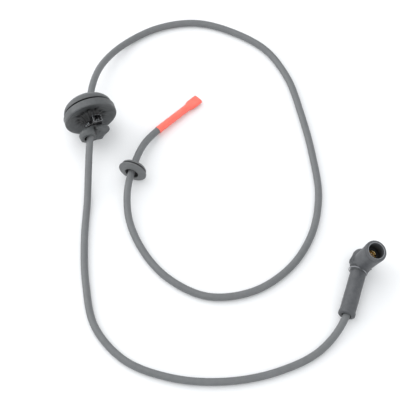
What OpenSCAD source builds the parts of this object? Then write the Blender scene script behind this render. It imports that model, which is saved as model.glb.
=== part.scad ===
// Ignition lead for a boiler or burner electrode.
// A silicone high-tension cable runs from a rubber elbow boot, which pushes onto the electrode's stud,
// through a large panel grommet that a cable tie locks to it, then through a small loose grommet,
// to a push-on receptacle in a shrunk sleeve.
// +Z is up from the surface that the lead lies on, millimetres throughout.

/* [Cable] */
// Outside diameter of the silicone cable
cable_d = 5; // [4.6:0.1:5.2]
// Diameter of the stranded conductor
conductor_d = 1.6; // [1:0.1:2]

/* [Elbow boot] */
// Length of the leg, from the head's axis to the end where the cable enters
leg_len = 40; // [38:0.5:44]
// Outside diameter of the leg
leg_d = 11; // [10:0.1:12]
// Outside diameter of the thick heel behind the head
heel_d = 14.2; // [13:0.1:14.2]
// Outside diameter of the head
head_d = 15.2; // [14:0.1:16]
// Length of the head, from the leg's axis to its mouth
head_len = 24.6; // [23:0.1:26]
// Diameter of the bore that takes the electrode's insulator
mouth_bore_d = 11; // [9.5:0.1:11.5]
// Depth of that bore
mouth_bore_len = 8; // [6:0.5:9]

/* [Contact] */
// Outside diameter of the brass contact socket
contact_d = 7; // [6.2:0.1:7]
// Diameter of the electrode stud that the socket takes
stud_d = 4; // [3.5:0.1:4.5]
// Depth of the socket's bore
stud_len = 9; // [6:0.5:10]

/* [Suppressor] */
// Diameter of the suppressor's ceramic rod
rod_d = 4.4; // [4:0.1:4.8]
// Diameter of the brass caps on the rod's ends
cap_d = 5.2; // [5:0.1:5.6]

/* [Panel grommet] */
// Diameter of the front rim
rim_d = 37.8; // [36:0.2:40]
// Axial width of the front rim
rim_w = 5.4; // [5:0.1:6]
// Diameter at the bottom of the panel groove
groove_d = 31; // [28:0.5:33]
// Width of the panel groove
groove_w = 1.6; // [1:0.1:2]
// Diameter of the dome at its base
dome_d = 35.6; // [34:0.2:36]
// Distance from the rim's front plane to the top of the dome
dome_top = 16.6; // [15:0.2:18]

/* [Cable tie] */
// Width of the tie's strap
strap_w = 3.6; // [3:0.1:4.8]
// Thickness of the tie's strap
strap_t = 1.1; // [0.8:0.1:1.4]

/* [Small grommet] */
// Diameter of the front flange
flange_d = 20.3; // [19:0.1:21]
// Diameter of the bore
grommet_bore_d = 9.2; // [8:0.1:9.6]

/* [Push-on terminal] */
// Outside diameter of the sleeve over the cable
sleeve_d = 5.5; // [5.4:0.1:6]
// Length of the sleeve
sleeve_len = 41.5; // [38:0.5:44]
// Width of the receptacle
receptacle_w = 6.4; // [6:0.1:6.6]

/* [Hidden] */
$fn = 64;
gap = 0.05;         // air between pieces that are fitted together
cut = 1;            // how far a cutting tool runs past the face that it opens

// Places and directions
boot_pos = [95, -51.4, 7.1];        // where the head's axis meets the leg's axis
boot_turn = [1.9, 19, -17];       // pitch of the leg, roll of the head, heading of the leg
panel_pos = [-90.35, 59.5, 18.9]; // centre of the panel grommet's front rim
panel_turn = [4.5, 0, 18.9];
small_pos = [-60.4, 20.4, 10.15]; // centre of the small grommet's front flange
small_turn = [0, 0, -19.5];
sleeve_pos = [-43.5, 60.2, 4.1];  // centre of the sleeve's cable end
sleeve_turn = [-2.3, 0, -45];

// The cable's own route, from inside the boot to inside the sleeve
route = [
    [87.6, -74.6, 6.3], [82.9, -89.6, 5.8], [76, -101.3, 4], [65, -113.2, 2.8],
    [38, -127.5, 2.5], [3, -134.7, 2.5], [-33, -131.8, 2.5], [-61.3, -120.2, 2.5],
    [-81, -97.8, 2.5], [-89.5, -63.5, 2.5], [-92, -29.5, 2.7], [-91.4, 2.5, 3.8],
    [-91.2, 24.7, 10.6], [-90.6, 42.4, 17], [-89.6, 53, 18.5], [-91.5, 80.4, 21],
    [-89, 99.5, 17.6], [-82, 121.8, 9.6], [-68, 141.9, 3.6], [-46, 156.4, 2.6],
    [-17, 161.9, 2.5], [14, 151.8, 2.5], [36, 136.1, 2.5], [51, 111.5, 2.5],
    [60.8, 75.5, 2.5], [67.2, 39.5, 2.5], [69.8, 4.5, 2.5], [64, -24.5, 2.5],
    [48, -51.5, 2.5], [22, -70, 2.5], [-8, -73.6, 2.5], [-34, -60.3, 2.5],
    [-53, -36.8, 2.8], [-62.5, -12, 5], [-63.3, 6.6, 9.1], [-60.2, 23.4, 9.7],
    [-51.6, 48.7, 6.4], [-43.5, 60.2, 4.1], [-40, 63.7, 3.9], [-28.2, 75.5, 3.2]
];
ring_step = 12.5;   // distance between the rings of the cable's tube
cable_sides = 10;

// Distances along the boot's leg, behind the head's axis
cable_end = 24.4;
cap_len = 3.6;
rod_len = 14;
rear_cap_end = cable_end - 4.4;
front_cap_end = rear_cap_end - rod_len - 2;

// Distances along the head
socket_base = 3;
socket_top = head_len - mouth_bore_len;

// The contact's strap: its width and where its foot stands along the leg
tongue_w = 3.4;
tongue_y = -front_cap_end + gap;

// Distances along the sleeve, from its cable end
flat_start = 33;
neck_end = 30;
sleeve_wall = 0.3;
flat_w = 7.7;
flat_t = 3.5;
sleeve_cable_end = 21.6;
barrel_start = 24;
body_start = 33.5;
body_end = 40.6;

// Colours
rubber = "#4d4f51";
soft_rubber = "#606365";
silicone = "#7b7f82";
brass = "#b99a4b";
copper = "#b87333";
ceramic = "#d8d2c4";
nylon = "#1b1b1c";
tin = "#c9c9c6";
red = "#e8574d";

// --- Places ---

module at_boot() {
    translate(boot_pos) rotate(boot_turn) children();
}

module at_panel() {
    translate(panel_pos) rotate(panel_turn) children();
}

module at_small() {
    translate(small_pos) rotate(small_turn) children();
}

module at_sleeve() {
    translate(sleeve_pos) rotate(sleeve_turn) children();
}

// Turns an outline about the Y axis. The outline's x is the radius, and its y the distance along Y.
module turned_y() {
    rotate([-90, 0, 0]) rotate_extrude() children();
}

// A rod along Y from y0 to y1
module rod_y(r, y0, y1) {
    translate([0, y0, 0]) rotate([-90, 0, 0]) cylinder(r = r, h = y1 - y0);
}

// The points of an arc about [cx, cy], from angle a0 to a1
function arc(cx, cy, r, a0, a1, n = 8) =
    [for (i = [0:n]) let (a = a0 + (a1 - a0) * i / n) [cx + r * cos(a), cy + r * sin(a)]];

// --- The cable's tube: rings swept along a smooth curve through the route ---

function last(v) = len(v) - 1;
function unit(v) = v / norm(v);

// The length of the chord from route point i to the next
function chord(p, i) = norm(p[i + 1] - p[i]);

// The curve's direction at route point i, from the chords on either side of it
function slope_at(p, i) =
    i == 0 ? unit(p[1] - p[0])
    : i == last(p) ? unit(p[i] - p[i - 1])
    : let (before = chord(p, i - 1), after = chord(p, i))
      ((p[i] - p[i - 1]) * after / before + (p[i + 1] - p[i]) * before / after) / (before + after);

// A point of the smooth curve between route points i and i + 1
function on_curve(p, i, t) =
    let (h = chord(p, i), u = 1 - t)
    (1 + 2 * t) * u * u * p[i] + t * u * u * h * slope_at(p, i)
        + t * t * (3 - 2 * t) * p[i + 1] - t * t * u * h * slope_at(p, i + 1);

function rings_in(p, i) = max(1, round(chord(p, i) / ring_step));

function centreline(p) = concat(
    [for (i = [0:last(p) - 1]) for (k = [0:rings_in(p, i) - 1]) on_curve(p, i, k / rings_in(p, i))],
    [p[last(p)]]
);

// The direction of the line at point i
function along(c, i) = unit(c[min(i + 1, last(c))] - c[max(i - 1, 0)]);

function ring_at(c, i, r, sides) =
    let (
        t = along(c, i),
        side = unit(cross(t, [0, 0, 1])),
        top = cross(side, t)
    )
    [for (k = [0:sides - 1]) c[i] + r * (cos(360 * k / sides) * side + sin(360 * k / sides) * top)];

module tube_along(c, r, sides) {
    rings = len(c);
    points = [for (i = [0:rings - 1]) each ring_at(c, i, r, sides)];
    wall = [
        for (i = [0:rings - 2]) for (k = [0:sides - 1])
            let (n = (k + 1) % sides)
            [i * sides + k, i * sides + n, (i + 1) * sides + n, (i + 1) * sides + k]
    ];
    near_end = [for (k = [sides - 1:-1:0]) k];
    far_end = [for (k = [0:sides - 1]) (rings - 1) * sides + k];
    polyhedron(points = points, faces = concat([near_end], wall, [far_end]));
}

module cable() {
    color(silicone) tube_along(centreline(route), cable_d / 2, cable_sides);
}

// --- Elbow boot and what is inside it ---

// The leg's outline, with a slight bead and a rounded lip at the cable's end
module leg_outline() {
    bead_r = leg_d / 2 + 0.3;
    lip = 1.1;
    polygon(concat(
        [[0, 0], [0, -leg_len]],
        arc(bead_r - lip, -leg_len + lip, lip, -90, 0),
        [[bead_r, -leg_len + 3], [leg_d / 2, -leg_len + 5], [leg_d / 2, 0]]
    ));
}

// The heel, thicker than the leg, with a stepped front and a rounded back
module heel_outline() {
    back = 10;
    front = -3.4;
    front_r = 0.8;
    back_r = 4.5;
    r = heel_d / 2;
    polygon(concat(
        [[0, front]],
        arc(r - front_r, front + front_r, front_r, -90, 0),
        arc(r - back_r, back - back_r, back_r, 0, 90),
        [[0, back]]
    ));
}

// The head's outline, with a rounded mouth
module head_outline() {
    lip = 1;
    r = head_d / 2;
    polygon(concat(
        [[0, 0], [r, 0]],
        arc(r - lip, head_len - lip, lip, 0, 90),
        [[0, head_len]]
    ));
}

// A small ridge at the side of the heel, which a finger pulls the boot off by
module ridge(side, reach) {
    size = [3, 5.4, 4.6];
    start = [side * reach, -2.4, -1];
    lean = 20;
    translate(start) rotate([0, side * lean, 0]) translate([-size[0] / 2, 0, -1]) cube(size);
}

module elbow_boot() {
    cable_bore = cable_d + 0.5;
    left_reach = 6.5;
    right_reach = 5.3;
    floor_z = -cap_d / 2 - 3 * gap;      // just below the leg's bore
    color(rubber) at_boot() difference() {
        union() {
            turned_y() leg_outline();
            turned_y() heel_outline();
            rotate_extrude() head_outline();
            ridge(-1, left_reach);
            ridge(1, right_reach);
        }
        // the electrode's socket, and the narrower one that holds the contact
        translate([0, 0, socket_top]) cylinder(d = mouth_bore_d, h = mouth_bore_len + cut);
        translate([0, 0, floor_z]) cylinder(r = contact_d / 2 + gap, h = socket_top - floor_z + cut);
        // the leg's bores, for the suppressor and for the cable
        rod_y(cap_d / 2 + gap, -cable_end, 0);
        rod_y(cable_bore / 2, -leg_len - cut, -cable_end + 1);
        // the strap's pocket, between the two
        translate([-tongue_w / 2 - gap, tongue_y - gap, 0])
            cube([tongue_w + 2 * gap, contact_d / 2, socket_base]);
        // the recess inside the lip
        rod_y(cable_bore / 2 + 1, -leg_len - cut, -leg_len + 1.2);
    }
}

module contact_socket() {
    ring_groove_z = socket_top - 2.6;
    color(brass) at_boot() difference() {
        translate([0, 0, socket_base]) cylinder(d = contact_d, h = socket_top - socket_base);
        translate([0, 0, socket_top - stud_len]) cylinder(d = stud_d, h = stud_len + cut);
        translate([0, 0, ring_groove_z]) cylinder(r = stud_d / 2 + 0.7, h = 0.8);
    }
}

// The round-wire ring in the socket's groove, which grips the electrode's stud
module contact_ring() {
    wire_r = 0.28;
    color(tin) at_boot() translate([0, 0, socket_top - 2.2])
        rotate_extrude() translate([stud_d / 2 + wire_r + gap, 0]) circle(r = wire_r);
}

// The strap that joins the suppressor's front cap to the socket
module contact_strap() {
    sheet = 0.8;
    foot_z = -1.6;
    reach = 3.2;
    top_z = socket_base - gap;
    color(brass) at_boot() translate([-tongue_w / 2, tongue_y, 0]) union() {
        translate([0, 0, foot_z]) cube([tongue_w, sheet, top_z - foot_z]);
        translate([0, 0, top_z - sheet]) cube([tongue_w, reach, sheet]);
    }
}

module suppressor_cap(start, open_towards) {
    wall = 0.4;
    well = start + (open_towards > 0 ? wall : 0);
    color(brass) at_boot() difference() {
        rod_y(cap_d / 2, start, start + cap_len);
        rod_y(
            rod_d / 2 + gap,
            well - (open_towards > 0 ? 0 : cut),
            well + cap_len - wall + (open_towards > 0 ? cut : 0)
        );
    }
}

module suppressor_front_cap() {
    suppressor_cap(-front_cap_end - cap_len, -1);
}

module suppressor_rear_cap() {
    suppressor_cap(-rear_cap_end, 1);
}

module suppressor_rod() {
    cap_wall = 0.4;
    color(ceramic) at_boot()
        rod_y(rod_d / 2, -rear_cap_end + cap_wall + gap, -front_cap_end - cap_wall - gap);
}

// The bared strands between the cable's end and the rear cap
module front_conductor() {
    color(copper) at_boot() rod_y(conductor_d / 2, -cable_end + 0.3, -rear_cap_end - gap);
}

// --- Panel grommet and its tie ---

neck_r = 5.2;
neck_front = -8;       // the squeezed neck lies between these two distances from the rim's plane
neck_back = -4.2;
opening_r = 6.2;       // the opening at the top of the dome

module panel_outline() {
    rim_r = rim_d / 2;
    edge = 1.6;
    dome_r = dome_d / 2;
    dome_base = rim_w + groove_w;
    dome_h = dome_top - dome_base;
    wall = 2.2;
    span = 66;             // how much of the dome's curve there is before its opening, in degrees
    polygon(concat(
        // the neck and the dish in front
        [[0, neck_front], [neck_r, neck_front], [neck_r, neck_back + 2.4]],
        [[neck_r + 1, 0.9], [neck_r + 3.6, 2.1], [rim_r - 6, 1.5], [rim_r - 2.6, 0.3]],
        // the rim
        arc(rim_r - edge, edge, edge, -90, 0, 4),
        [[rim_r, rim_w], [groove_d / 2, rim_w], [groove_d / 2, dome_base]],
        // the dome, outside and inside
        [for (i = [0:8]) let (a = span * i / 8)
            [dome_r * cos(a), dome_base + dome_h * sin(a) / sin(span)]],
        [[opening_r, dome_top - 0.4]],
        [for (i = [7:-1:0]) let (a = span * i / 8)
            [(dome_r - wall) * cos(a), dome_base + (dome_h - wall) * sin(a) / sin(span)]],
        // the inside of the front wall
        [[groove_d / 2 - wall, dome_base - 1], [groove_d / 2 - wall, 4.4], [neck_r + 3.6, 4.4], [0, 3.4]]
    ));
}

// A disc across the neck's direction
module disc(x, s, z, r, t = 0.6) {
    translate([x, s, z]) rod_y(r, 0, t);
}

module panel_grommet() {
    tube_front = -14.7;
    tube_back = -9.6;
    tube_x = -5.8;
    tube_r = 6.4;
    tube_bore_r = 3.4;
    way_x = -1.2;          // where the cable goes through the neck
    way_r = 2.9;
    fold_front = -11.8;
    fold_x = 4.6;
    fold_r = 5.7;
    color(rubber) at_panel() difference() {
        union() {
            turned_y() panel_outline();
            // the sleeve spreads from the neck into a round tube on the cable and a folded lobe beside it
            hull() {
                disc(0, neck_front - 0.6, 0, neck_r);
                disc(tube_x, tube_back, 0, tube_r);
                disc(fold_x, tube_back, 0, fold_r);
            }
            disc(tube_x, tube_front, 0, tube_r, tube_back - tube_front + 0.3);
            hull() for (x = [0, fold_x])
                disc(x, fold_front, 0, fold_r, tube_back - fold_front + 0.3);
        }
        // the tube's bore and the cable's way through the neck
        translate([tube_x, 0, 0]) rod_y(tube_bore_r, tube_front - cut, tube_front + 1.6);
        hull() {
            disc(tube_x, tube_front + 1, 0, tube_bore_r);
            disc(way_x, neck_back - 3.4, 0, way_r);
        }
        translate([way_x, 0, 0]) rod_y(way_r, neck_front - 2, neck_back + 4);
    }
}

module cable_tie() {
    mid = (neck_front + neck_back) / 2;
    r0 = neck_r + gap;
    head = [7, 5.8, 4.6];      // along the strap, across it, and its height
    wall = 1.1;
    head_angle = 18;             // from the top of the neck towards the right
    color(nylon) at_panel() union() {
        translate([0, mid - strap_w / 2, 0]) turned_y()
            translate([r0, 0]) square([strap_t, strap_w]);
        rotate([0, head_angle, 0]) translate([-head[0] / 2, mid - head[1] / 2, r0 + 0.2]) difference() {
            cube(head);
            translate([wall, wall, strap_t]) cube([head[0] - 3 * wall, head[1] - 2 * wall, head[2]]);
        }
        // the cut end of the strap, standing in the head beside the pawl
        rotate([0, head_angle, 0]) translate([0.4, mid - strap_w / 2, r0 + 0.2])
            cube([strap_t, strap_w, head[2] - 0.6]);
    }
}

// --- Small grommet, loose on the cable ---

module small_grommet() {
    front_t = 1.3;
    slot_w = 0.9;
    rear_t = 2.5;
    hub_r = 7.2;
    slot_r = 7.2;
    rear_r = 9.2;
    edge = 0.6;
    proud = 1.3;
    bore_r = grommet_bore_d / 2;
    rear = front_t + slot_w + rear_t;
    color(soft_rubber) at_small() turned_y() polygon(concat(
        [[bore_r, -proud], [hub_r - 1.4, -proud], [hub_r + 0.8, -0.4]],
        arc(flange_d / 2 - edge, edge, edge, -90, 0, 4),
        arc(flange_d / 2 - edge, front_t - edge, edge, 0, 90, 4),
        [[slot_r, front_t], [slot_r, front_t + slot_w]],
        arc(rear_r - edge, front_t + slot_w + edge, edge, -90, 0, 4),
        [[rear_r - 1.2, rear], [bore_r, rear]]
    ));
}

// --- Push-on terminal ---

// A flat bar with round edges, along Y
module flat_bar(w, t, y0, y1) {
    translate([0, y0, 0]) rotate([-90, 0, 0]) linear_extrude(y1 - y0) union() {
        square([w - t, t], center = true);
        for (side = [-1, 1]) translate([side * (w - t) / 2, 0]) circle(d = t);
    }
}

module terminal_sleeve() {
    inner_d = cable_d + 2 * gap;
    color(red) at_sleeve() difference() {
        union() {
            rod_y(sleeve_d / 2, 0, neck_end);
            hull() {
                rod_y(sleeve_d / 2, neck_end - 0.1, neck_end);
                flat_bar(flat_w, flat_t, flat_start, flat_start + 0.1);
            }
            flat_bar(flat_w, flat_t, flat_start, sleeve_len);
        }
        rod_y(inner_d / 2, -cut, neck_end + 0.6);
        rod_y(flat_t / 2 - sleeve_wall, barrel_start, body_start);
        flat_bar(receptacle_w + 0.2, flat_t - 2 * sleeve_wall, flat_start - 0.6, sleeve_len + cut);
    }
}

// A folded tab receptacle: a floor, two rolled sides, and a barrel round the conductor
module push_on_terminal() {
    sheet = 0.35;
    height = flat_t - 2 * sleeve_wall - 0.2;
    roll_d = height;
    barrel_r = conductor_d / 2 + gap + 0.55;
    neck_w = 1.2;
    neck_z = -1.2;
    color(tin) at_sleeve() union() {
        translate([-receptacle_w / 2 + roll_d / 2, body_start, -height / 2])
            cube([receptacle_w - roll_d, body_end - body_start, sheet]);
        for (side = [-1, 1]) translate([side * (receptacle_w - roll_d) / 2, 0, 0]) difference() {
            rod_y(roll_d / 2, body_start, body_end);
            rod_y(roll_d / 2 - sheet, body_start - cut, body_end + cut);
            translate([side > 0 ? -roll_d : 0, body_start - cut, -height / 2 + sheet])
                cube([roll_d, body_end - body_start + 2 * cut, height / 2 - sheet + 0.3]);
        }
        translate([-neck_w / 2, body_start - 3.6, neck_z]) cube([neck_w, 4, sheet]);
        difference() {
            rod_y(barrel_r, barrel_start, body_start - 3);
            rod_y(conductor_d / 2 + gap, barrel_start - cut, body_start - 2);
        }
    }
}

// The bared strands, from the cable's end into the terminal's barrel
module rear_conductor() {
    color(copper) at_sleeve() rod_y(conductor_d / 2, sleeve_cable_end + 0.3, body_start - 3.6);
}

elbow_boot();
contact_socket();
contact_ring();
contact_strap();
suppressor_front_cap();
suppressor_rod();
suppressor_rear_cap();
front_conductor();
cable();
panel_grommet();
cable_tie();
small_grommet();
rear_conductor();
push_on_terminal();
terminal_sleeve();
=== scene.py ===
import math

import bmesh
import bpy
from mathutils import Euler, Matrix, Vector


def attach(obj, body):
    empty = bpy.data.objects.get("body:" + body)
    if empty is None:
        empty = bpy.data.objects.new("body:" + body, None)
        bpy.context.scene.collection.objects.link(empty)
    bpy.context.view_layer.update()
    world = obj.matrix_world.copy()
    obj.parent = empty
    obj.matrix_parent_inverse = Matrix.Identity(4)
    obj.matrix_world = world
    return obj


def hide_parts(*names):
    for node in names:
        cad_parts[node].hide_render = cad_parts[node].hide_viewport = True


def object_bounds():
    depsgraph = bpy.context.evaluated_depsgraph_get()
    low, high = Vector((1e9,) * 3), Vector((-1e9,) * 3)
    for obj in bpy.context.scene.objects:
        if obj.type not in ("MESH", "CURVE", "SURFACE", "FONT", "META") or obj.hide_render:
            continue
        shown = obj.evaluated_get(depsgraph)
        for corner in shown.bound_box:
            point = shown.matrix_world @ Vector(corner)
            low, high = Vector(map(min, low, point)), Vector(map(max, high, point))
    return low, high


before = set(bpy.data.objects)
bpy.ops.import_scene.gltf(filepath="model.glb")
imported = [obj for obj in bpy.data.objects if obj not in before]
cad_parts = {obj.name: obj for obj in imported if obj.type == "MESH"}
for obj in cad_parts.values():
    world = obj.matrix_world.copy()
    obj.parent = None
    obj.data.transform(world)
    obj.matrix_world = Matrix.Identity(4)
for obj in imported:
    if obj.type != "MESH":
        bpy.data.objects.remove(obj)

cad_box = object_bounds()
MM = 0.001
scene = bpy.context.scene

# ---------------------------------------------------------------- camera

ELEVATION = math.radians(58)
DISTANCE = 0.856
LENS = 110.07
TARGET = Vector((-0.013, 0.0035, 0))
camera_data = bpy.data.cameras.new("camera")
camera_data.sensor_width = 36
camera_data.lens = LENS
camera = bpy.data.objects.new("camera", camera_data)
scene.collection.objects.link(camera)
camera.location = TARGET + Vector((0, -math.cos(ELEVATION), math.sin(ELEVATION))) * DISTANCE
camera.rotation_euler = (TARGET - camera.location).to_track_quat("-Z", "Y").to_euler()
scene.camera = camera

# ---------------------------------------------------------------- materials

PAINTED_SHADE_TONE = 0.12        # painted shade: the colour painted into deep folds and hollows, as a part of the surface's own dark tone
BUMP_DEPTH = 0.0002
FACTOR, COLOUR_A, COLOUR_B, MIXED = 0, 6, 7, 2      # a colour Mix node's sockets


def surface(name, low, high, scale, roughness, bump, bump_scale, metallic=0.0, ior=1.5, rough_var=0.08,
            patches=0.0, stretch=None, shaded=False):
    """A procedural finish: two tones mixed by noise, a fine bump, and a roughness that varies a little.
    patches adds larger pale areas, and shaded paints shade into it where the mesh's shade attribute is high."""
    mat = bpy.data.materials.new(name)
    mat.use_nodes = True
    tree = mat.node_tree
    link = tree.links.new
    shader = tree.nodes["Principled BSDF"]
    shader.inputs["Metallic"].default_value = metallic
    shader.inputs["IOR"].default_value = ior
    coords = tree.nodes.new("ShaderNodeTexCoord")
    place = coords.outputs["Object"]
    if stretch:
        mapping = tree.nodes.new("ShaderNodeMapping")
        mapping.inputs["Scale"].default_value = stretch
        link(place, mapping.inputs["Vector"])
        place = mapping.outputs["Vector"]
    tone = tree.nodes.new("ShaderNodeTexNoise")
    tone.inputs["Scale"].default_value = scale
    tone.inputs["Detail"].default_value = 5
    tone.inputs["Roughness"].default_value = 0.62
    link(place, tone.inputs["Vector"])
    ramp = tree.nodes.new("ShaderNodeValToRGB")
    ramp.color_ramp.elements[0].position = 0.3
    ramp.color_ramp.elements[0].color = (*low, 1)
    ramp.color_ramp.elements[1].position = 0.72
    ramp.color_ramp.elements[1].color = (*high, 1)
    link(tone.outputs["Fac"], ramp.inputs["Fac"])
    colour = ramp.outputs["Color"]
    if patches:
        big = tree.nodes.new("ShaderNodeTexNoise")
        big.inputs["Scale"].default_value = scale / 7
        big.inputs["Detail"].default_value = 3
        link(coords.outputs["Object"], big.inputs["Vector"])
        fade = tree.nodes.new("ShaderNodeMapRange")
        fade.inputs["From Min"].default_value = 0.42
        fade.inputs["From Max"].default_value = 0.68
        fade.inputs["To Min"].default_value = 0.0
        fade.inputs["To Max"].default_value = patches
        link(big.outputs["Fac"], fade.inputs["Value"])
        mix = tree.nodes.new("ShaderNodeMix")
        mix.data_type = "RGBA"
        mix.inputs[COLOUR_B].default_value = (*[min(1, 1.7 * c + 0.02) for c in high], 1)
        link(fade.outputs["Result"], mix.inputs[FACTOR])
        link(colour, mix.inputs[COLOUR_A])
        colour = mix.outputs[MIXED]
    if shaded:
        # painted shade: the colour is mixed towards a dark copy of its low tone where the shade attribute is high
        painted_shade_node = tree.nodes.new("ShaderNodeAttribute")
        painted_shade_node.attribute_name = "shade"
        dark = tree.nodes.new("ShaderNodeMix")
        dark.data_type = "RGBA"
        dark.inputs[COLOUR_B].default_value = (*[PAINTED_SHADE_TONE * c for c in low], 1)
        link(painted_shade_node.outputs["Fac"], dark.inputs[FACTOR])
        link(colour, dark.inputs[COLOUR_A])
        colour = dark.outputs[MIXED]
    link(colour, shader.inputs["Base Color"])
    rough = tree.nodes.new("ShaderNodeMapRange")
    rough.inputs["To Min"].default_value = max(0.02, roughness - rough_var)
    rough.inputs["To Max"].default_value = min(1, roughness + rough_var)
    link(tone.outputs["Fac"], rough.inputs["Value"])
    link(rough.outputs["Result"], shader.inputs["Roughness"])
    grain = tree.nodes.new("ShaderNodeTexNoise")
    grain.inputs["Scale"].default_value = bump_scale
    grain.inputs["Detail"].default_value = 4
    link(place, grain.inputs["Vector"])
    bumps = tree.nodes.new("ShaderNodeBump")
    bumps.inputs["Strength"].default_value = bump
    bumps.inputs["Distance"].default_value = BUMP_DEPTH
    link(grain.outputs["Fac"], bumps.inputs["Height"])
    link(bumps.outputs["Normal"], shader.inputs["Normal"])
    return mat


SILICONE = surface("silicone jacket", (0.118, 0.124, 0.128), (0.142, 0.148, 0.152), scale=260,
                   roughness=0.5, bump=0.25, bump_scale=2600, patches=0.05)
# the boot, panel grommet and small grommet rubbers get painted shade from each mesh's shade attribute
BOOT = surface("boot rubber", (0.05, 0.053, 0.058), (0.085, 0.088, 0.094), scale=330,
               roughness=0.48, bump=0.35, bump_scale=2400, patches=0.14, shaded=True)
PANEL = surface("grommet rubber", (0.058, 0.062, 0.064), (0.085, 0.09, 0.093), scale=300,
                roughness=0.44, bump=0.35, bump_scale=2400, patches=0.12, shaded=True)
# painted highlight: a pale rubber for thin strips that stand for light caught on the boot's edges
PAINTED_HIGHLIGHT_RUBBER = surface("rubber painted highlight", (0.22, 0.225, 0.24), (0.34, 0.35, 0.37), scale=600,
               roughness=0.3, bump=0.2, bump_scale=2400)
SMALL = surface("small grommet rubber", (0.1, 0.105, 0.108), (0.135, 0.14, 0.142), scale=300,
                roughness=0.5, bump=0.3, bump_scale=2400, patches=0.08, shaded=True)
NYLON = surface("black nylon", (0.005, 0.005, 0.006), (0.012, 0.012, 0.013), scale=500,
                roughness=0.13, bump=0.1, bump_scale=3000, ior=1.6, rough_var=0.05)
# painted highlight: a pale nylon for thin strips that stand for glints of light on the tie
NYLON_PAINTED_GLINT = surface("nylon painted glints", (0.16, 0.17, 0.18), (0.5, 0.52, 0.54), scale=900,
                     roughness=0.2, bump=0.1, bump_scale=3000)
SLEEVE = surface("red sleeve", (0.87, 0.13, 0.095), (0.95, 0.17, 0.125), scale=220,
                 roughness=0.42, bump=0.15, bump_scale=1500, patches=0.05)
BRASS = surface("brass", (0.62, 0.42, 0.17), (0.8, 0.6, 0.3), scale=700,
                roughness=0.24, bump=0.12, bump_scale=3000, metallic=1.0)
TIN = surface("tinned steel", (0.62, 0.62, 0.6), (0.78, 0.78, 0.76), scale=700,
              roughness=0.3, bump=0.12, bump_scale=3000, metallic=1.0)
COPPER = surface("copper strands", (0.6, 0.3, 0.18), (0.85, 0.5, 0.33), scale=900,
                 roughness=0.3, bump=0.6, bump_scale=4000, metallic=1.0, stretch=(1, 0.15, 1))
CERAMIC = surface("ceramic", (0.66, 0.62, 0.54), (0.76, 0.73, 0.66), scale=500,
                  roughness=0.45, bump=0.15, bump_scale=2500)
FLOOR = surface("floor", (0.83, 0.84, 0.85), (0.85, 0.855, 0.86), scale=9,
                roughness=0.75, bump=0.03, bump_scale=300)

# ---------------------------------------------------------------- mesh helpers


def mesh_object(name, verts, faces, mat, sharp=38, matrix=None):
    mesh = bpy.data.meshes.new(name)
    mesh.from_pydata([tuple(v) for v in verts], [], [tuple(f) for f in faces])
    obj = bpy.data.objects.new(name, mesh)
    scene.collection.objects.link(obj)
    if matrix is not None:
        mesh.transform(matrix)
    finish_mesh(obj, sharp)
    mesh.materials.append(mat)
    return obj


def finish_mesh(obj, sharp):
    """Consistent normals, smooth shading, and sharp edges where faces meet at more than that angle."""
    bm = bmesh.new()
    bm.from_mesh(obj.data)
    bmesh.ops.recalc_face_normals(bm, faces=bm.faces)
    limit = math.radians(sharp)
    for face in bm.faces:
        face.smooth = True
    for edge in bm.edges:
        if len(edge.link_faces) == 2:
            edge.smooth = edge.calc_face_angle(0) < limit
    bm.to_mesh(obj.data)
    bm.free()


def shade_by(obj, rule):
    """Writes how much painted shade each point gets, from 0 to 1, in the folds and hollows where shade falls. The
    rule gets its place in the piece's own frame."""
    layer = obj.data.attributes.new("shade", "FLOAT", "POINT")
    for i, v in enumerate(obj.data.vertices):
        layer.data[i].value = min(1.0, max(0.0, rule(v.co)))


def skin(rings, closed=False, caps=False):
    """Quads between rings of the same number of points."""
    count = len(rings[0])
    verts = [p for ring in rings for p in ring]
    faces = []
    last = len(rings) if closed else len(rings) - 1
    for i in range(last):
        a, b = i * count, (i + 1) % len(rings) * count
        for k in range(count):
            n = (k + 1) % count
            faces.append((a + k, a + n, b + n, b + k))
    if caps:
        faces.append(tuple(range(count))[::-1])
        faces.append(tuple(range((len(rings) - 1) * count, len(rings) * count)))
    return verts, faces


def turned(profile, sides=72, closed=False, along="y"):
    """Rings of a turned profile of (radius, distance along the axis), in millimetres."""
    rings = []
    for r, s in profile:
        r = max(r, 0.001)
        ring = []
        for k in range(sides):
            a = 2 * math.pi * k / sides
            x, z = r * math.cos(a), r * math.sin(a)
            ring.append((x, s, z) if along == "y" else (x, z, s))
        rings.append(ring)
    return skin(rings, closed, caps=not closed)


def ring_of_wire(radius, at, wire_r, along="y"):
    """A thin round wire bent into a ring."""
    return turned(arc(radius, at, wire_r, 0, 360, 10)[:-1], 96, closed=True, along=along)


def box_mesh(size, centre=(0, 0, 0)):
    x, y, z = (v / 2 for v in size)
    c = centre
    verts = [(c[0] + i * x, c[1] + j * y, c[2] + k * z) for i in (-1, 1) for j in (-1, 1) for k in (-1, 1)]
    faces = [(0, 1, 3, 2), (4, 6, 7, 5), (0, 4, 5, 1), (2, 3, 7, 6), (0, 2, 6, 4), (1, 5, 7, 3)]
    return verts, faces


def joined(parts):
    verts, faces = [], []
    for v, f in parts:
        base = len(verts)
        verts += list(v)
        faces += [tuple(i + base for i in face) for face in f]
    return verts, faces


def moved(part, matrix):
    return [tuple(matrix @ Vector(v)) for v in part[0]], part[1]


def turn_about(axis, degrees):
    return Matrix.Rotation(math.radians(degrees), 4, axis)


def place(pos, turn):
    """A piece's own frame, in millimetres, put into the row frame, in metres."""
    return (Matrix.Scale(MM, 4) @ Matrix.Translation(pos)
            @ Euler([math.radians(t) for t in turn], "XYZ").to_matrix().to_4x4())


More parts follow.
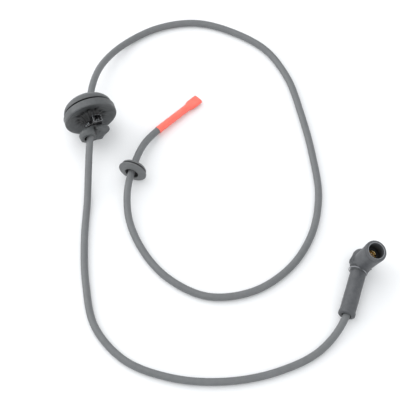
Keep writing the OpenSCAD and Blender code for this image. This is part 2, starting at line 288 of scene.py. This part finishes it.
def run(obj, kind, **settings):
    """Adds a modifier and applies it at once."""
    mod = obj.modifiers.new(kind.lower(), kind)
    for key, value in settings.items():
        setattr(mod, key, value)
    bpy.context.view_layer.update()
    deps = bpy.context.evaluated_depsgraph_get()
    mesh = bpy.data.meshes.new_from_object(obj.evaluated_get(deps))
    obj.modifiers.clear()
    old = obj.data
    obj.data = mesh
    bpy.data.meshes.remove(old)


def cut_with(obj, part):
    """Takes a part's shape out of an object."""
    cutter = mesh_object("cutter", *part, obj.data.materials[0])
    run(obj, "BOOLEAN", operation="DIFFERENCE", object=cutter, solver="EXACT")
    bpy.data.objects.remove(cutter)


def bevelled(obj, width, angle=40):
    run(obj, "BEVEL", width=width, segments=2, limit_method="ANGLE", angle_limit=math.radians(angle))


def arc(cx, cy, r, a0, a1, n=6):
    """n + 1 points on a circle about (cx, cy), from angle a0 to a1 in degrees."""
    return [(cx + r * math.cos(math.radians(a0 + (a1 - a0) * i / n)),
             cy + r * math.sin(math.radians(a0 + (a1 - a0) * i / n))) for i in range(n + 1)]


def smoothstep(t):
    t = min(1, max(0, t))
    return t * t * (3 - 2 * t)


def bell(t):
    """1 at t = 0, and close to 0 beyond 2."""
    return math.exp(-t ** 2)


# ---------------------------------------------------------------- the cable

ROUTE = [Vector(p) * MM for p in (
    (87.6, -74.6, 6.3), (82.9, -89.6, 5.8), (76, -101.3, 4), (65, -113.2, 2.8),
    (38, -127.5, 2.5), (3, -134.7, 2.5), (-33, -131.8, 2.5), (-61.3, -120.2, 2.5),
    (-81, -97.8, 2.5), (-89.5, -63.5, 2.5), (-92, -29.5, 2.7), (-91.4, 2.5, 3.8),
    (-91.2, 24.7, 10.6), (-90.6, 42.4, 17), (-89.6, 53, 18.5), (-91.5, 80.4, 21),
    (-89, 99.5, 17.6), (-82, 121.8, 9.6), (-68, 141.9, 3.6), (-46, 156.4, 2.6),
    (-17, 161.9, 2.5), (14, 151.8, 2.5), (36, 136.1, 2.5), (51, 111.5, 2.5),
    (60.8, 75.5, 2.5), (67.2, 39.5, 2.5), (69.8, 4.5, 2.5), (64, -24.5, 2.5),
    (48, -51.5, 2.5), (22, -70, 2.5), (-8, -73.6, 2.5), (-34, -60.3, 2.5),
    (-53, -36.8, 2.8), (-62.5, -12, 5), (-63.3, 6.6, 9.1), (-60.2, 23.4, 9.7),
    (-51.6, 48.7, 6.4), (-43.5, 60.2, 4.1), (-40, 63.7, 3.9), (-28.2, 75.5, 3.2))]
CABLE_R = 2.5 * MM
CABLE_STEP = 0.0024


def centreline(step):
    """A smooth curve through the route's points, as points about a step apart."""
    p = ROUTE
    chords = [(p[i + 1] - p[i]).length for i in range(len(p) - 1)]
    slopes = []
    for i in range(len(p)):
        if i == 0:
            slopes.append((p[1] - p[0]).normalized())
        elif i == len(p) - 1:
            slopes.append((p[i] - p[i - 1]).normalized())
        else:
            before, after = chords[i - 1], chords[i]
            slopes.append(((p[i] - p[i - 1]) * (after / before) + (p[i + 1] - p[i]) * (before / after))
                          / (before + after))
    out = []
    for i, h in enumerate(chords):
        count = max(1, round(h / step))
        for k in range(count):
            t = k / count
            u = 1 - t
            out.append((1 + 2 * t) * u * u * p[i] + t * u * u * h * slopes[i]
                       + t * t * (3 - 2 * t) * p[i + 1] - t * t * u * h * slopes[i + 1])
    return out + [p[-1]]


def tube(line, radius, sides):
    rings = []
    for i, c in enumerate(line):
        t = (line[min(i + 1, len(line) - 1)] - line[max(i - 1, 0)]).normalized()
        side = t.cross(Vector((0, 0, 1))).normalized()
        top = side.cross(t)
        rings.append([c + radius * (math.cos(2 * math.pi * k / sides) * side
                                    + math.sin(2 * math.pi * k / sides) * top) for k in range(sides)])
    return skin(rings, caps=True)


line = centreline(CABLE_STEP)
cable = mesh_object("cable_jacket", *tube(line, CABLE_R, 28), SILICONE, sharp=60)
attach(cable, "lead")
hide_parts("cable")

# ---------------------------------------------------------------- elbow boot

# in the boot's own frame its leg runs along -Y and its head along +Z, from the corner at the origin
BOOT_AT = place((95, -51.4, 7.1), (1.9, 19, -17))
LEG_LEN, LEG_R, LEG_ROLL = 40, 5.5, 0.9
HEEL_R, HEEL_ROUND = 7.1, 5.2
HEAD_R, HEAD_LEN, HEAD_ROUND = 7.6, 24.6, 1.2
MOUTH_R, MOUTH_DEPTH = 5.5, 8
CONTACT_R, CONTACT_LEN, STUD_R = 3.5, 9, 2.0
SOCKET_TOP = HEAD_LEN - MOUTH_DEPTH
COLLAR_R, COLLAR_Y, COLLAR_TILT = 6.15, -6.7, -6
HOLE_R, HOLE_MOUTH_R = 2.65, 3.15
LUG = (3, 5.4, 4.4)
RUBBER_VOXEL = 0.3

# the leg: a rolled end, a waist behind it, a long barrel and the collar at the corner
leg = turned([(2.9, -LEG_LEN)] + arc(LEG_R + 0.3 - LEG_ROLL, -LEG_LEN + LEG_ROLL, LEG_ROLL, -90, 0)
             + [(LEG_R + 0.28, -LEG_LEN + 2.2), (LEG_R - 0.12, -LEG_LEN + 3.8), (LEG_R - 0.05, -LEG_LEN + 12),
                (LEG_R - 0.15, -20), (LEG_R - 0.15, -12), (LEG_R - 0.1, COLLAR_Y - 0.6),
                (LEG_R + 0.3, COLLAR_Y - 0.4), (LEG_R + 0.5, COLLAR_Y), (LEG_R + 0.55, -5.6),
                (LEG_R + 0.6, -4.6), (3, 2)], 64)
heel = turned([(2, -4.4), (HEEL_R - 1.1, -4.3), (HEEL_R - 0.35, -3.6), (HEEL_R - 0.05, -2.6), (HEEL_R, -1.6)]
              + arc(HEEL_R - HEEL_ROUND, 4.8, HEEL_ROUND, 0, 80) + [(0.5, 9.9)], 64)
head = turned([(2, -3.5), (5.6, -3.2), (6.7, 0), (7.05, 8), (7.3, 17)]
              + [(HEAD_R - 0.05, HEAD_LEN - 4), (HEAD_R, HEAD_LEN - 1.4)]
              + arc(HEAD_R - HEAD_ROUND, HEAD_LEN - HEAD_ROUND, HEAD_ROUND, 0, 90) + [(3, HEAD_LEN)],
              72, along="z")
lugs = []
for side, reach in ((-1, 6.5), (1, 5.3)):
    lugs.append(moved(box_mesh(LUG, (0, LUG[1] / 2, 1.3)), Matrix.Translation((side * reach, -2.4, -1))
                      @ turn_about("Y", side * 20) @ turn_about("Z", side * 14)))
boot = mesh_object("boot_shell", *joined([leg, heel, head] + lugs), BOOT)
run(boot, "REMESH", mode="VOXEL", voxel_size=RUBBER_VOXEL, adaptivity=0.0)
run(boot, "SMOOTH", factor=0.5, iterations=5)

# the mouth, the contact's well, the recess at the leg's end, and the hole for the cable and suppressor
cut_with(boot, turned([(MOUTH_R, SOCKET_TOP), (MOUTH_R, HEAD_LEN - 0.25), (MOUTH_R + 0.12, HEAD_LEN - 0.05),
                       (MOUTH_R + 0.3, HEAD_LEN + 1)], 72, along="z"))
cut_with(boot, turned([(CONTACT_R + 0.05, 0), (CONTACT_R + 0.05, SOCKET_TOP + 1)], 64, along="z"))
cut_with(boot, turned([(HOLE_R, -26), (HOLE_R, -LEG_LEN + 1.2), (3.0, -LEG_LEN + 0.9),
                       (HOLE_MOUTH_R, -LEG_LEN - 1)], 48))
cut_with(boot, turned([(HOLE_R, -26.5), (HOLE_R, -2.2)], 48))


def boot_painted_shade(co):
    """Painted shade inside the mouth and the leg's end, before the collar, in a thin line under the mouth's lip,
    and in the hollow beside the lugs.
    """
    across, up, along = math.hypot(co.x, co.y), co.z, math.hypot(co.x, co.z)
    inside = smoothstep((MOUTH_R + 0.12 - across) / 0.1) * smoothstep((HEAD_LEN - 0.3 - up) / 2.2) * (up > 8)
    end = smoothstep((HOLE_MOUTH_R + 0.15 - along) / 0.1) * (co.y < -LEG_LEN + 3)
    crease = 0.7 * smoothstep((LEG_R + 0.4 - along) / 0.4) * smoothstep((co.y + 8.6) / 1.4) * (co.y < -6.2)
    under_lip = 0.5 * bell((up - HEAD_LEN + 1.7) / 0.4) if across > MOUTH_R + 1 else 0
    hollow = 0.55 * bell((co.y + 4.6) / 0.8) if 5.6 < along < 7.4 and abs(co.x) > 3.5 else 0
    return max(inside, end, crease, hollow, under_lip)


shade_by(boot, boot_painted_shade)
boot.data.transform(BOOT_AT)
finish_mesh(boot, 50)
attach(boot, "lead")
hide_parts("elbow_boot")

# painted highlights: thin strips of pale rubber along the collar's edge and round the mouth, where the light
# catches them
collar = moved(ring_of_wire(COLLAR_R, COLLAR_Y, 0.26), turn_about("Z", COLLAR_TILT))
collar = mesh_object("boot_collar_highlight", *collar, PAINTED_HIGHLIGHT_RUBBER, matrix=BOOT_AT)
lip = ring_of_wire(MOUTH_R + 0.25, HEAD_LEN - 0.12, 0.18, along="z")
lip = mesh_object("boot_lip_highlight", *lip, PAINTED_HIGHLIGHT_RUBBER, matrix=BOOT_AT)
for piece in (collar, lip):
    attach(piece, "lead")

# the contact socket: a bore with a groove for its ring, a chamfered mouth, and two slits across it
contact = mesh_object("contact_body", *turned(
    [(STUD_R, SOCKET_TOP - CONTACT_LEN), (STUD_R, SOCKET_TOP - 2.7), (2.55, SOCKET_TOP - 2.55),
     (2.55, SOCKET_TOP - 1.85), (2.05, SOCKET_TOP - 1.7), (2.2, SOCKET_TOP - 1.1), (2.95, SOCKET_TOP - 0.15),
     (3.15, SOCKET_TOP), (3.35, SOCKET_TOP - 0.05), (CONTACT_R, SOCKET_TOP - 0.3), (CONTACT_R, 3.1),
     (0.4, 3.05), (0.4, SOCKET_TOP - CONTACT_LEN)], 64, closed=True, along="z"), BRASS)
for turn in (20, 110):
    cut_with(contact, moved(box_mesh((0.7, 9, 8), (0, 0, SOCKET_TOP - 3.4)), turn_about("Z", turn)))
contact.data.transform(BOOT_AT)
finish_mesh(contact, 35)
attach(contact, "lead")
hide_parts("contact_socket")

# ---------------------------------------------------------------- panel grommet

# in the grommet's own frame its axis runs along Y, from the sleeve in front to the dome behind the rim
PANEL_AT = place((-90.35, 59.5, 18.9), (4.5, 0, 18.9))
SIDES = 180
RIM_R, RIM_W, RIM_ROUND = 18.9, 5.4, 0.8
GROOVE_R, GROOVE_W = 15.5, 1.6
DOME_R, DOME_TOP, DOME_WALL, DOME_STEP = 17.8, 16.6, 2.2, 0.35
DOME_BASE = RIM_W + GROOVE_W
DOME_SPAN = math.radians(66)
NECK_R, NECK_FRONT, NECK_BACK = 5.2, -8, -4.2
TUBE_X, TUBE_R, TUBE_BORE, TUBE_FRONT = -5.8, 6.4, 3.4, -14.7
FOLD_X, FOLD_R, FOLD_FRONT = 4.6, 5.7, -11.8
WAY_X, WAY_R = -1.2, 2.9
MID_X, LOBES_FULL = -0.6, -11.3
FACE_INSET = 0.8
angles = [2 * math.pi * k / SIDES for k in range(SIDES)]


def wrinkle(a):
    """Uneven pleats round the neck, from -1 in a valley to about 0.5 on a crest."""
    w = (0.55 * math.cos(13 * a + 0.7 + 0.6 * math.sin(2 * a)) + 0.35 * math.cos(8 * a + 2.1)
         + 0.25 * math.cos(21 * a + 4 + math.sin(3 * a)))
    return 0.8 * w - 0.5 * abs(w) ** 1.5


def circle(r, s, pleat_r=0.0, pleat_s=0.0, x=0.0):
    """A ring about the axis at distance s along it, pleated outwards by pleat_r and forwards by pleat_s."""
    out = []
    for a in angles:
        w = wrinkle(a)
        rr = r + pleat_r * w
        out.append((x + rr * math.cos(a), s - pleat_s * w, rr * math.sin(a)))
    return out


def dome_rings(r, base, rise, steps):
    """Rings up a dome, from its base to the edge of the opening at its top."""
    spans = [DOME_SPAN * i / steps for i in range(steps + 1)]
    return [circle(r * math.cos(a), base + rise * math.sin(a) / math.sin(DOME_SPAN)) for a in spans]


def reach_to(a, cx, r):
    """How far the circle's edge is from the middle point, in direction a."""
    d = cx - MID_X
    return d * math.cos(a) + math.sqrt(max(0, r * r - (d * math.sin(a)) ** 2))


def two_lobes(inset=0.0):
    """The squeezed sleeve's outline: a tube and a fold side by side, creased on top and flat underneath."""
    out = []
    for a in angles:
        far = max(reach_to(a, TUBE_X, TUBE_R - inset), reach_to(a, FOLD_X, FOLD_R - inset))
        if math.sin(a) < -0.2:
            drop = TUBE_R + 0.1 - inset
            flat = drop / abs(math.sin(a))
            if TUBE_X < MID_X + flat * math.cos(a) < FOLD_X:
                far = max(far, flat)
        out.append((MID_X + far * math.cos(a), far * math.sin(a)))
    return out


def front_at(x, z):
    """The sleeve's front plane: the tube stands further forward than the fold beside it."""
    near = math.hypot(x - TUBE_X, z)
    slump = 0.35 * math.cos(0.5 * x + 0.4) * (1 if near > TUBE_R else 0)
    below = 0.95 * smoothstep(-z / 3.5) * smoothstep((FOLD_X + 3.5 - x) / 6)
    forward = max(smoothstep((TUBE_R + 0.5 - near) / 1.3), below)
    return FOLD_FRONT + slump - (FOLD_FRONT - TUBE_FRONT) * forward


# the inside, from the neck's way out to the edge of the dome's opening
rings = [circle(WAY_R, 3.4, x=WAY_X)]
rings += [circle(r, s) for r, s in ((6.5, 3.9), (8.8, 4.4), (13.0, 4.4), (13.3, 4.8), (13.3, 6.2))]
rings += dome_rings(DOME_R - DOME_WALL, DOME_BASE, DOME_TOP - DOME_BASE - DOME_WALL, 10)
rings += [circle(r, DOME_TOP - s) for r, s in ((6.25, 1.2), (6.2, 0.5), (6.5, 0.1))]
# the dome's outside, back down to the groove
rings += dome_rings(DOME_R, DOME_BASE + DOME_STEP, DOME_TOP - DOME_BASE - DOME_STEP, 14)[::-1]
rings += [circle(DOME_R - 0.15, DOME_BASE + 0.12), circle(DOME_R - 0.5, DOME_BASE)]
# the groove and the rim
rings += [circle(r, s) for r, s in (
    [(DOME_R - 0.7, DOME_BASE), (GROOVE_R + 0.1, DOME_BASE), (GROOVE_R, DOME_BASE - 0.1),
     (GROOVE_R, RIM_W + 0.1), (GROOVE_R + 0.1, RIM_W), (RIM_R - 0.6, RIM_W)]
    + arc(RIM_R - 0.3, RIM_W - 0.3, 0.3, 90, 0, 3) + [(RIM_R, 3.6), (RIM_R, 1.6)]
    + arc(RIM_R - RIM_ROUND, RIM_ROUND, RIM_ROUND, 0, -80, 6))]
# the dish, pulled into pleats that deepen towards the neck
rings += [circle(r, s, 0, pleat) for r, s, pleat in (
    (17.2, 0.05, 0), (16.3, 0.25, 0), (15.0, 0.7, 0.05), (13.4, 1.25, 0.16), (12, 1.65, 0.34),
    (10.8, 1.95, 0.56), (9.6, 2.15, 0.8), (8.6, 2.2, 1.0), (7.7, 2.05, 1.1), (7.0, 1.6, 1.05))]
# the neck under the tie
rings += [circle(r, s, pleat, 0) for r, s, pleat in (
    (6.4, 0.6, 0.65), (5.9, -0.6, 0.65), (5.5, -2, 0.55), (NECK_R, -3.4, 0.35),
    (NECK_R - 0.15, NECK_BACK, 0.15), (NECK_R - 0.15, -6.1, 0.1), (NECK_R - 0.15, NECK_FRONT, 0.15))]
# the sleeve, opening out from the neck into two lobes
lobes = two_lobes()
neck = circle(NECK_R - 0.1, NECK_FRONT - 0.2, 0.3, 0)
for s, f in ((-8.35, 0.22), (-8.7, 0.46), (-9.2, 0.7), (-9.9, 0.88), (-10.7, 0.97), (LOBES_FULL, 1.0)):
    rings.append([((1 - f) * n[0] + f * p[0], s, (1 - f) * n[2] + f * p[1]) for n, p in zip(neck, lobes)])
rings.append([(x, LOBES_FULL + 0.75 * (front_at(x, z) - LOBES_FULL), z) for x, z in lobes])
for inset, lift in ((0.12, 0.35), (0.4, 0.12), (FACE_INSET, 0.0)):
    rings.append([(x, front_at(x, z) + lift, z) for x, z in two_lobes(inset)])
# the sleeve's front face, from its edge in to the hole round the cable
inner = two_lobes(FACE_INSET)
hole = [(TUBE_X + TUBE_BORE * math.cos(a), TUBE_BORE * math.sin(a)) for a in angles]
for g in (0.15, 0.3, 0.45, 0.6, 0.75, 0.88, 0.96):
    ring = []
    for (x0, z0), (x1, z1) in zip(inner, hole):
        x, z = x0 + (x1 - x0) * g, z0 + (z1 - z0) * g
        ring.append((x, front_at(x, z) + 0.1 * g * g, z))
    rings.append(ring)
rings.append([(x, TUBE_FRONT + 0.45, z) for x, z in hole])
# the hole, which narrows and moves over to the neck's way through
for s, f in ((-13.4, 0.0), (-12.4, 0.12), (-11, 0.5), (-9.6, 0.9), (-8.4, 1.0), (-4, 1.0), (0, 1.0)):
    cx, r = TUBE_X + (WAY_X - TUBE_X) * f, TUBE_BORE + (WAY_R - TUBE_BORE) * f
    rings.append([(cx + r * math.cos(a), s, r * math.sin(a)) for a in angles])
grommet = mesh_object("panel_grommet_body", *skin(rings, closed=True), PANEL, sharp=40)


def grommet_painted_shade(co):
    """Painted shade in the groove, in the pleats round the neck, over the dish's upper part, between the tube and
    the fold, and in the hole.
    """
    r, s, a = math.hypot(co.x, co.z), co.y, math.atan2(co.z, co.x)
    groove = RIM_W - 0.01 < s < DOME_BASE + 0.01 and GROOVE_R - 0.5 < r < RIM_R - 0.5
    dish = NECK_BACK - 2 < s < 3.4 and r < RIM_R - 0.9
    near = smoothstep((13 - r) / 4.5) * dish
    pleats = near * min(1, 0.8 + 0.9 * max(0, 0.2 - wrinkle(a)))
    # painted shade: the dish's upper part is darker, where the rim above it shades it
    overhung = 0.35 * dish * smoothstep(co.z / 9 + 0.2)
    crease = 0.0
    if s < NECK_FRONT and co.z > 0:
        crease = 0.9 * bell((co.x - MID_X - 0.5) / 0.9) * smoothstep((co.z - 0.5) / 2)
    bore = math.hypot(co.x - TUBE_X, co.z) < TUBE_BORE + 0.02 and TUBE_FRONT + 0.2 < s < -9
    return max(groove, pleats, overhung, crease, bore)


shade_by(grommet, grommet_painted_shade)
grommet.data.transform(PANEL_AT)
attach(grommet, "lead")
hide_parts("panel_grommet")

# ---------------------------------------------------------------- cable tie

# it is built upright on the grommet's axis and then turned about it
TIE_TURN = turn_about("Y", 18)
MID_S = (NECK_FRONT + NECK_BACK) / 2
STRAP_W, STRAP_T, STRAP_R = 3.6, 1.1, NECK_R + 0.05
TEETH = 30
HEAD_X, HEAD_Y, HEAD_Z = 7.0, 5.8, 4.6
HEAD_FOOT = STRAP_R + 0.2
HEAD_TOP = HEAD_FOOT + HEAD_Z
EDGE_W = 0.3

# the strap: rounded side rails, and between them a row of saw teeth, given by four heights each
rings = []
section = ((-0.5, 0.0), (-0.5, 0.85), (-0.46, 1.0), (-0.34, 1.0), (-0.3, None),
           (0.3, None), (0.34, 1.0), (0.46, 1.0), (0.5, 0.85), (0.5, 0.0))
for k in range(TEETH * 4):
    a = 2 * math.pi * k / (TEETH * 4)
    saw = (0.5, 0.62, 0.8, 0.98)[k % 4]
    ring = []
    for w, h in section:
        r = STRAP_R + STRAP_T * (saw if h is None else h)
        ring.append((r * math.sin(a), MID_S + w * STRAP_W, r * math.cos(a)))
    rings.append(ring)
strap = mesh_object("tie_strap", *skin(rings, closed=True), NYLON, sharp=28)

# the head, with the slot that the strap goes through
head = mesh_object("tie_head", *box_mesh((HEAD_X, HEAD_Y, HEAD_Z), (0, MID_S, HEAD_FOOT + HEAD_Z / 2)), NYLON)
bevelled(head, 0.32)
cut_with(head, box_mesh((HEAD_X - 3.0, STRAP_W + 0.7, HEAD_Z + 3), (0.25, MID_S, STRAP_R + 2.6 + HEAD_Z / 2)))
bevelled(head, 0.14, angle=50)

# the pawl: a leaning wedge, drawn from the side as (across, height) and as wide as the slot allows
PAWL_Z, PAWL_HALF = STRAP_R + 2.0, 1.35
wedge = [(-0.9, PAWL_Z + 2.6), (-1.7, PAWL_Z - 0.6), (-0.5, PAWL_Z - 0.6), (0.35, PAWL_Z + 1.5)]
pawl = skin([[(x, MID_S + side * PAWL_HALF, z) for x, z in wedge] for side in (-1, 1)], caps=True)
pawl = mesh_object("tie_pawl", *pawl, NYLON, sharp=25)
bevelled(pawl, 0.12)

# the strap's cut tail, beside the pawl
tail = mesh_object("tie_tail", *box_mesh((STRAP_T, STRAP_W - 0.2, HEAD_Z - 0.7),
                                         (1.15, MID_S, HEAD_FOOT + HEAD_Z / 2 - 0.1)), NYLON)
bevelled(tail, 0.15)

# painted glints: thin raised strips of pale nylon round the head's top, two leaning bars across its mouth, and the
# teeth beside the head, where light glints off the black nylon
edges = []
for side in (-1, 1):
    edges.append(box_mesh((HEAD_X - 0.7, EDGE_W, EDGE_W),
                          (0, MID_S + side * (HEAD_Y / 2 - EDGE_W), HEAD_TOP - 0.16)))
for side in (-1, 1):
    edges.append(box_mesh((EDGE_W, HEAD_Y - 0.7, EDGE_W),
                          (side * (HEAD_X / 2 - EDGE_W), MID_S, HEAD_TOP - 0.16)))
for lean in (-1, 1):
    bar = box_mesh((0.35, EDGE_W, 2.9), (0, MID_S - STRAP_W / 2 + EDGE_W, HEAD_TOP - 1.2))
    edges.append(moved(bar, Matrix.Translation((0.1 + lean * 0.62, 0, 0)) @ Matrix.Translation((0, 0, HEAD_TOP))
                       @ turn_about("Y", -lean * 24) @ Matrix.Translation((0, 0, -HEAD_TOP))))
for k in range(4):
    tooth = box_mesh((0.34, STRAP_W * 0.56, 0.24), (0, MID_S, STRAP_R + STRAP_T - 0.06))
    edges.append(moved(tooth, turn_about("Y", -50 - 11 * k)))
glint_strips = mesh_object("tie_painted_glints", *joined(edges), NYLON_PAINTED_GLINT, sharp=25)
bevelled(glint_strips, 0.07)

for piece in (strap, head, pawl, tail, glint_strips):
    piece.data.transform(TIE_TURN)
    piece.data.transform(PANEL_AT)
    finish_mesh(piece, 30)
    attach(piece, "lead")
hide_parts("cable_tie")

# ---------------------------------------------------------------- small grommet

# in its own frame its axis runs along Y, with the larger flange in front
SMALL_AT = place((-60.4, 20.4, 10.15), (0, 0, -19.5))
BORE_R, SLOT_R, FLANGE_R, REAR_R = 4.6, 7.2, 10.15, 9.2
FRONT_T, SLOT_W, REAR_T = 1.3, 0.9, 2.5
FLANGE_ROUND = 0.6
SLOT_END = FRONT_T + SLOT_W
REAR_END = SLOT_END + REAR_T

outline = ([(BORE_R + 0.3, -1.3), (5.8, -1.28), (6.8, -0.95), (8.2, -0.4), (9.2, -0.05)]
           + arc(FLANGE_R - FLANGE_ROUND, FLANGE_ROUND, FLANGE_ROUND, -70, 0, 4)
           + arc(FLANGE_R - 0.55, FRONT_T - 0.5, 0.5, 0, 85, 4)
           + [(SLOT_R + 0.2, FRONT_T), (SLOT_R, FRONT_T + 0.15), (SLOT_R, SLOT_END - 0.15),
              (SLOT_R + 0.2, SLOT_END)]
           + arc(REAR_R - FLANGE_ROUND, SLOT_END + FLANGE_ROUND, FLANGE_ROUND, -85, 0, 4)
           + [(REAR_R - 0.3, REAR_END - 0.9), (REAR_R - 1.2, REAR_END - 0.1), (BORE_R + 0.5, REAR_END),
              (BORE_R + 0.05, REAR_END - 0.4), (BORE_R, 1), (BORE_R, -0.9)])
small = mesh_object("small_grommet_body", *turned(outline, 96, closed=True), SMALL, sharp=50)


def small_painted_shade(co):
    """Painted shade in the bore, between the two flanges, and on the flange edges that face each other."""
    r = math.hypot(co.x, co.z)
    if r < BORE_R + 0.2:
        return 0.8
    return FRONT_T - 0.37 < co.y < SLOT_END + 0.25 and r > SLOT_R - 0.1


shade_by(small, small_painted_shade)
small.data.transform(SMALL_AT)
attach(small, "loose_grommet")
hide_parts("small_grommet")

# ---------------------------------------------------------------- red sleeve

# in its own frame it runs along +Y, from its open end on the cable to the flat end over the receptacle
SLEEVE_AT = place((-43.5, 60.2, 4.1), (-2.3, 0, -45))
SLEEVE_R, SLEEVE_LEN, NECK_END = 2.75, 41.5, 30
FLAT_W, FLAT_T, WALL = 7.7, 3.5, 0.3
FLAT_POWER = 0.62       # how square the flat end's corners are; 1 would be an ellipse
CABLE_GAP = -0.245      # from the sleeve's outside to the cable in it
NARROW_GAP = -0.9       # the same where the bared conductor is


def sleeve_ring(y, f, grow=0.0, ripple=0.0):
    """A ring of the sleeve that goes from round (f = 0) to a rounded flat bar (f = 1)."""
    ring = []
    for k in range(64):
        a = 2 * math.pi * k / 64
        c, s = math.cos(a), math.sin(a)
        r = SLEEVE_R + grow + ripple * math.cos(3 * a + y)
        flat_x = (FLAT_W / 2 + grow) * math.copysign(abs(c) ** FLAT_POWER, c)
        flat_z = (FLAT_T / 2 + grow) * math.copysign(abs(s) ** FLAT_POWER, s)
        ring.append(((1 - f) * r * c + f * flat_x, y, (1 - f) * r * s + f * flat_z))
    return ring


# its open end and its long round part, which ripples and dips a little over the end of the cable
rings = [sleeve_ring(0.35, 0, -0.2), sleeve_ring(0.05, 0, -0.13), sleeve_ring(0.0, 0, -0.05),
         sleeve_ring(0.25, 0, 0)]
for i in range(1, 28):
    y = 0.25 + i * (NECK_END - 1.2) / 27.5
    dip = 0.12 * smoothstep((y - 21.5) / 2) * smoothstep((26 - y) / 2)
    rings.append(sleeve_ring(y, 0, -0.05 + 0.04 * math.sin(y * 1.3) - dip, 0.03))
# its flat end
for y, f in ((29.6, 0.03), (30.3, 0.13), (31, 0.33), (31.7, 0.58), (32.4, 0.82), (33.2, 0.96), (34, 1),
             (36, 1), (38.5, 1), (40.6, 1)):
    rings.append(sleeve_ring(y, f, -0.03 if y < 40 else -0.02))
rings += [sleeve_ring(41.3, 1, -0.04), sleeve_ring(SLEEVE_LEN, 1, -0.14), sleeve_ring(SLEEVE_LEN - 0.05, 1, -0.26)]
# its inside, back to the open end
rings += [sleeve_ring(SLEEVE_LEN - 0.4, 1, -WALL), sleeve_ring(34, 1, -WALL), sleeve_ring(31.6, 0.5, -0.6),
          sleeve_ring(NECK_END, 0, NARROW_GAP), sleeve_ring(24, 0, NARROW_GAP), sleeve_ring(21.6, 0, CABLE_GAP),
          sleeve_ring(1.5, 0, CABLE_GAP)]
sleeve = mesh_object("terminal_sleeve_skin", *skin(rings, closed=True), SLEEVE, sharp=55, matrix=SLEEVE_AT)
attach(sleeve, "lead")
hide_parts("terminal_sleeve")

# ---------------------------------------------------------------- CAD pieces that are kept

for node, mat in (("contact_ring", TIN), ("contact_strap", BRASS), ("suppressor_front_cap", BRASS),
                  ("suppressor_rear_cap", BRASS), ("suppressor_rod", CERAMIC), ("front_conductor", COPPER),
                  ("rear_conductor", COPPER), ("push_on_terminal", TIN)):
    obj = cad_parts[node]
    for slot in obj.material_slots:
        slot.material = mat
    if not obj.material_slots:
        obj.data.materials.append(mat)

# ---------------------------------------------------------------- floor and light

FLOOR_HALF = 4
FLOOR_GAP = 0.00002
floor = mesh_object("floor", [(-FLOOR_HALF, -FLOOR_HALF, 0), (FLOOR_HALF, -FLOOR_HALF, 0),
                              (FLOOR_HALF, FLOOR_HALF, 0), (-FLOOR_HALF, FLOOR_HALF, 0)], [(0, 1, 2, 3)], FLOOR)
floor.location.z = min(cad_box[0][2], 0.0) - FLOOR_GAP

world = bpy.data.worlds.new("studio")
scene.world = world
world.use_nodes = True
world.node_tree.nodes["Background"].inputs["Color"].default_value = (0.97, 0.985, 1, 1)
world.node_tree.nodes["Background"].inputs["Strength"].default_value = 0.97


def area(name, location, size, energy):
    """A square area light that faces the lead."""
    data = bpy.data.lights.new(name, "AREA")
    data.energy = energy
    data.size = size
    obj = bpy.data.objects.new(name, data)
    scene.collection.objects.link(obj)
    obj.location = location
    obj.rotation_euler = (-obj.location).to_track_quat("-Z", "Y").to_euler()


area("key", (-0.75, 0.45, 1.0), 1.8, 9.5)
area("side", (-1.0, 0.36, 0.42), 0.45, 2)
area("fill", (0.3, -0.9, 1.0), 1.2, 4)
scene.view_settings.view_transform = "Standard"
